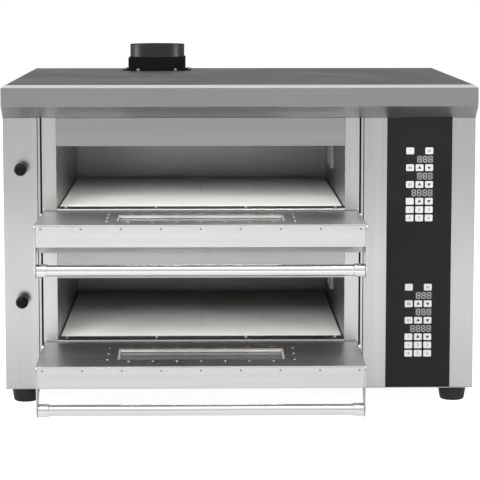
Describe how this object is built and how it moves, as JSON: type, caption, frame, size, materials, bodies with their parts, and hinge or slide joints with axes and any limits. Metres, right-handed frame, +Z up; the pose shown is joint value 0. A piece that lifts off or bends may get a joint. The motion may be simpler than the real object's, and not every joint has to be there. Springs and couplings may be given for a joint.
{
  "type": "pizza oven",
  "caption": "Countertop electric pizza oven with stacked stone-floored baking chambers, drop-down glazed doors, steam vents, flue and side control panel.",
  "frame": {"origin": "under the middle of the whole object's box with the doors open, on the surface the feet stand on", "axes": "+X to the right seen from the front, +Y from the front to the rear, +Z up"},
  "size_m": [1.1, 1.0824, 0.821],
  "materials": {
    "casing_steel": "satin",
    "hood_steel": "satin",
    "jamb_steel": "satin",
    "door_steel": "satin",
    "chamber_steel": "satin",
    "inner_steel": "satin",
    "handle_chrome": "polished",
    "black_panel": "gloss",
    "black_paint": "satin",
    "black_plastic": "matte",
    "knob_plastic": "gloss",
    "keypad_film": "satin",
    "key_print": "satin",
    "display_window": "gloss",
    "baking_stone": "matte",
    "element_sheath": "matte",
    "wool": "matte",
    "window_glass": "gloss",
    "lamp_glass": "gloss",
    "gasket": "matte",
    "screw_steel": "polished",
    "circuit_board": "satin"
  },
  "bodies": {
    "cabinet": {"base_pan": "casing_steel", "bottom_insulation": "wool", "cable_gland": "black_plastic", "centre_column": "casing_steel", "control_board": "circuit_board", "control_panel": "black_panel", "electrical_plate": "inner_steel", "flue_base": "black_paint", "flue_collar": "black_paint", "flue_riser": "inner_steel", "foot_front_left": "black_plastic", "foot_front_right": "black_plastic", "foot_rear_left": "black_plastic", "foot_rear_right": "black_plastic", "left_column": "casing_steel", "left_jamb": "jamb_steel", "left_side_panel": "casing_steel", "lower_bottom_element": "element_sheath", "lower_chamber_liner": "chamber_steel", "lower_keypad": "keypad_film", "lower_lamp_housing": "jamb_steel", "lower_stone_left": "baking_stone", "lower_stone_right": "baking_stone", "lower_threshold": "jamb_steel", "lower_top_element": "element_sheath", "middle_insulation": "wool", "middle_lintel": "casing_steel", "plinth": "casing_steel", "rear_cover": "casing_steel", "right_column": "casing_steel", "right_jamb": "jamb_steel", "right_side_panel": "casing_steel", "terminal_block": "black_plastic", "top_cover": "hood_steel", "top_insulation": "wool", "upper_bottom_element": "element_sheath", "upper_chamber_liner": "chamber_steel", "upper_keypad": "keypad_film", "upper_lamp_housing": "jamb_steel", "upper_lintel": "casing_steel", "upper_stone_left": "baking_stone", "upper_stone_right": "baking_stone", "upper_threshold": "jamb_steel", "upper_top_element": "element_sheath"},
    "upper_door": {"upper_door_shell": "door_steel", "upper_door_inner_panel": "door_steel", "upper_door_glass": "window_glass", "upper_bracket_left": "door_steel", "upper_bracket_right": "door_steel", "upper_handle_bar": "handle_chrome"},
    "lower_door": {"lower_door_shell": "door_steel", "lower_door_inner_panel": "door_steel", "lower_door_glass": "window_glass", "lower_bracket_left": "door_steel", "lower_bracket_right": "door_steel", "lower_handle_bar": "handle_chrome"},
    "upper_vent": {"upper_vent_knob": "knob_plastic", "upper_vent_rod": "inner_steel"},
    "lower_vent": {"lower_vent_knob": "knob_plastic", "lower_vent_rod": "inner_steel"}
  },
  "joints": [
    {"name": "upper_door_hinge", "type": "hinge", "parent": "cabinet", "child": "upper_door", "pos_m": [-0.0905, -0.31876, 0.44161], "axis": [-1, 0, 0], "range_deg": [0, 90.8]},
    {"name": "lower_door_hinge", "type": "hinge", "parent": "cabinet", "child": "lower_door", "pos_m": [-0.0905, -0.31876, 0.1316], "axis": [-1, 0, 0], "range_deg": [0, 93]},
    {"name": "upper_vent_slide", "type": "slide", "parent": "cabinet", "child": "upper_vent", "axis": [0, -1, 0], "range_m": [0, 0.06]},
    {"name": "lower_vent_slide", "type": "slide", "parent": "cabinet", "child": "lower_vent", "axis": [0, -1, 0], "range_m": [0, 0.06]}
  ]
}
